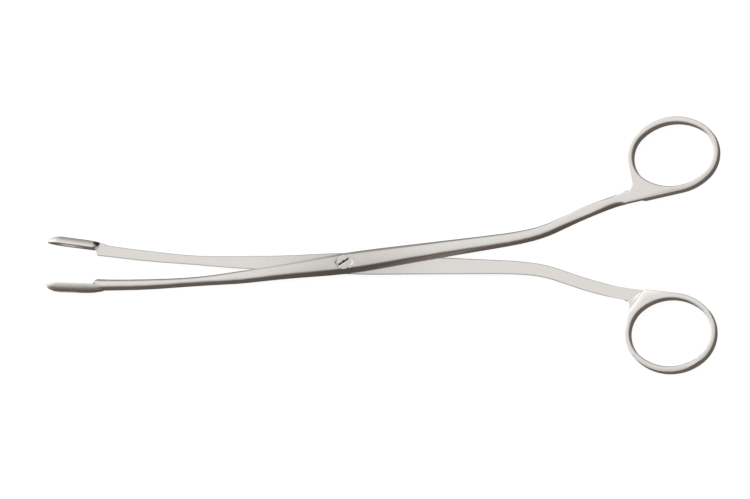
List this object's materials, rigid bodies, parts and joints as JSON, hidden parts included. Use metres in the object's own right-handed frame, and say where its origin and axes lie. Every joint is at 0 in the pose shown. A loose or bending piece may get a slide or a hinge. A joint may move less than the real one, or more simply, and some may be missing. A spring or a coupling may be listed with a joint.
{
  "type": "gallstone forceps",
  "caption": "Long slender gallstone forceps with finger rings, a screwed lap joint and lightly curved shanks that end in hollowed, windowed jaws.",
  "frame": {"origin": "centre of the joint screw's plain end face, on the back of the rear half", "axes": "+X runs along the closed arms from the screw to the finger rings, +Y towards the front half's ring, +Z along the screw to its slotted head. The arms are stored open by 8.2 degrees, as in the picture."},
  "size_m": [0.228, 0.0862, 0.0056],
  "materials": {
    "satin_steel": "satin",
    "screw_steel": "satin"
  },
  "bodies": {
    "rear_arm": {"rear_half": "satin_steel", "joint_screw": "screw_steel"},
    "front_arm": {"front_half": "satin_steel"}
  },
  "joints": [
    {"name": "screw_pivot", "type": "hinge", "parent": "rear_arm", "child": "front_arm", "pos_m": [0, 0, 0.0028], "axis": [0, 0, 1], "range_deg": [-7.75, 30]}
  ]
}
